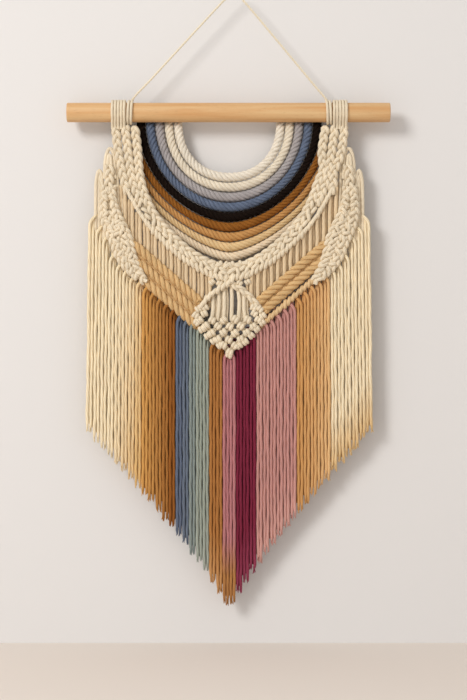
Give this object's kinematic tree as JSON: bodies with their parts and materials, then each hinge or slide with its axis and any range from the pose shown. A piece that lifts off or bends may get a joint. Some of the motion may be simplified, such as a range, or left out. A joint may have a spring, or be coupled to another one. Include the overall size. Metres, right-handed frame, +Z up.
{
  "type": "tapestry wall hanging",
  "caption": "Knotted cotton cord wall hanging with nested arched ropes, side bands, V ropes and a pointed tasselled fringe, hung from a wooden dowel by a cord.",
  "frame": {"origin": "the point on the underside of the hanging cord's bend where it rests on a nail", "axes": "+X to the viewer's right along the dowel, +Y from the viewer to the wall, +Z up"},
  "size_m": [0.4, 0.0397, 0.7642],
  "materials": {
    "beech": "satin",
    "cotton_twine": "matt twisted cotton",
    "cotton_cord": "matt twisted cotton",
    "cotton_rope_tan": "matt twisted cotton",
    "arch_rope_cream_inner": "matt twisted cotton",
    "arch_rope_cream_outer": "matt twisted cotton",
    "arch_rope_grey": "matt twisted cotton",
    "arch_rope_blue": "matt twisted cotton",
    "arch_rope_black": "matt twisted cotton",
    "arch_rope_brown": "matt twisted cotton",
    "arch_rope_tan": "matt twisted cotton",
    "arch_rope_light_tan": "matt twisted cotton",
    "arch_rope_pale": "matt twisted cotton",
    "cotton_cream_left": "matt twisted cotton",
    "cotton_brown": "matt twisted cotton",
    "cotton_slate": "matt twisted cotton",
    "cotton_sage": "matt twisted cotton",
    "cotton_amber": "matt twisted cotton",
    "cotton_rose": "matt twisted cotton",
    "cotton_plum": "matt twisted cotton",
    "cotton_pink": "matt twisted cotton",
    "cotton_tan": "matt twisted cotton",
    "cotton_cream_right": "matt twisted cotton"
  },
  "bodies": {
    "hanger": {"hanging_cord": "cotton_twine", "hanging_cord_wrap_left": "cotton_twine", "hanging_cord_wrap_right": "cotton_twine"},
    "tapestry": {"dowel": "beech", "draped_loop_left_1": "cotton_cord", "draped_loop_left_2": "cotton_cord", "draped_loop_left_3": "cotton_cord", "draped_loop_left_4": "cotton_cord", "draped_loop_left_5": "cotton_cord", "draped_loop_right_1": "cotton_cord", "draped_loop_right_2": "cotton_cord", "draped_loop_right_3": "cotton_cord", "draped_loop_right_4": "cotton_cord", "draped_loop_right_5": "cotton_cord", "arch_rope_cream_inner": "arch_rope_cream_inner", "arch_rope_cream_outer": "arch_rope_cream_outer", "arch_rope_grey": "arch_rope_grey", "arch_rope_blue": "arch_rope_blue", "arch_rope_black": "arch_rope_black", "arch_rope_brown": "arch_rope_brown", "arch_rope_tan": "arch_rope_tan", "arch_rope_light_tan": "arch_rope_light_tan", "arch_rope_pale": "arch_rope_pale", "upper_band_left": "cotton_cord", "spacer_cords_left": "cotton_cord", "outer_band_left": "cotton_cord", "side_loops_left": "cotton_cord", "diamond_arm_left": "cotton_cord", "upper_band_right": "cotton_cord", "spacer_cords_right": "cotton_cord", "outer_band_right": "cotton_cord", "side_loops_right": "cotton_cord", "diamond_arm_right": "cotton_cord", "centre_lattice": "cotton_cord", "v_rope_left_1": "cotton_rope_tan", "v_rope_left_2": "cotton_rope_tan", "v_rope_left_3": "cotton_rope_tan", "v_rope_right_1": "cotton_rope_tan", "v_rope_right_2": "cotton_rope_tan", "v_edge_cord_right": "cotton_rope_tan", "fringe_head_cream_left": "cotton_cream_left", "fringe_head_brown": "cotton_brown", "fringe_head_slate": "cotton_slate", "fringe_head_sage": "cotton_sage", "fringe_head_amber": "cotton_amber", "fringe_head_rose": "cotton_rose", "fringe_head_plum": "cotton_plum", "fringe_head_pink": "cotton_pink", "fringe_head_tan": "cotton_tan", "fringe_head_cream_right": "cotton_cream_right"},
    "fringe_cream_left": {"fringe_skirt_cream_left": "cotton_cream_left"},
    "fringe_brown": {"fringe_skirt_brown": "cotton_brown"},
    "fringe_slate": {"fringe_skirt_slate": "cotton_slate"},
    "fringe_sage": {"fringe_skirt_sage": "cotton_sage"},
    "fringe_amber": {"fringe_skirt_amber": "cotton_amber"},
    "fringe_rose": {"fringe_skirt_rose": "cotton_rose"},
    "fringe_plum": {"fringe_skirt_plum": "cotton_plum"},
    "fringe_pink": {"fringe_skirt_pink": "cotton_pink"},
    "fringe_tan": {"fringe_skirt_tan": "cotton_tan"},
    "fringe_cream_right": {"fringe_skirt_cream_right": "cotton_cream_right"}
  },
  "joints": [
    {"name": "dowel_swing", "type": "hinge", "parent": "hanger", "child": "tapestry", "pos_m": [-0.006, 0, -0.147], "axis": [-1, 0, 0], "range_deg": [0, 60]},
    {"name": "fringe_cream_left_swing", "type": "hinge", "parent": "tapestry", "child": "fringe_cream_left", "pos_m": [-0.006, 0, -0.37655], "axis": [-1, 0, 0], "range_deg": [-3, 45]},
    {"name": "fringe_brown_swing", "type": "hinge", "parent": "tapestry", "child": "fringe_brown", "pos_m": [-0.006, 0, -0.41161], "axis": [-1, 0, 0], "range_deg": [-3, 45]},
    {"name": "fringe_slate_swing", "type": "hinge", "parent": "tapestry", "child": "fringe_slate", "pos_m": [-0.006, 0, -0.42514], "axis": [-1, 0, 0], "range_deg": [-3, 45]},
    {"name": "fringe_sage_swing", "type": "hinge", "parent": "tapestry", "child": "fringe_sage", "pos_m": [-0.006, 0, -0.44428], "axis": [-1, 0, 0], "range_deg": [-3, 45]},
    {"name": "fringe_amber_swing", "type": "hinge", "parent": "tapestry", "child": "fringe_amber", "pos_m": [-0.006, 0, -0.4565], "axis": [-1, 0, 0], "range_deg": [-3, 45]},
    {"name": "fringe_rose_swing", "type": "hinge", "parent": "tapestry", "child": "fringe_rose", "pos_m": [-0.006, 0, -0.463], "axis": [-1, 0, 0], "range_deg": [-3, 45]},
    {"name": "fringe_plum_swing", "type": "hinge", "parent": "tapestry", "child": "fringe_plum", "pos_m": [-0.006, 0, -0.4565], "axis": [-1, 0, 0], "range_deg": [-3, 45]},
    {"name": "fringe_pink_swing", "type": "hinge", "parent": "tapestry", "child": "fringe_pink", "pos_m": [-0.006, 0, -0.43491], "axis": [-1, 0, 0], "range_deg": [-3, 45]},
    {"name": "fringe_tan_swing", "type": "hinge", "parent": "tapestry", "child": "fringe_tan", "pos_m": [-0.006, 0, -0.39756], "axis": [-1, 0, 0], "range_deg": [-3, 45]},
    {"name": "fringe_cream_right_swing", "type": "hinge", "parent": "tapestry", "child": "fringe_cream_right", "pos_m": [-0.006, 0, -0.36311], "axis": [-1, 0, 0], "range_deg": [-3, 45]}
  ]
}
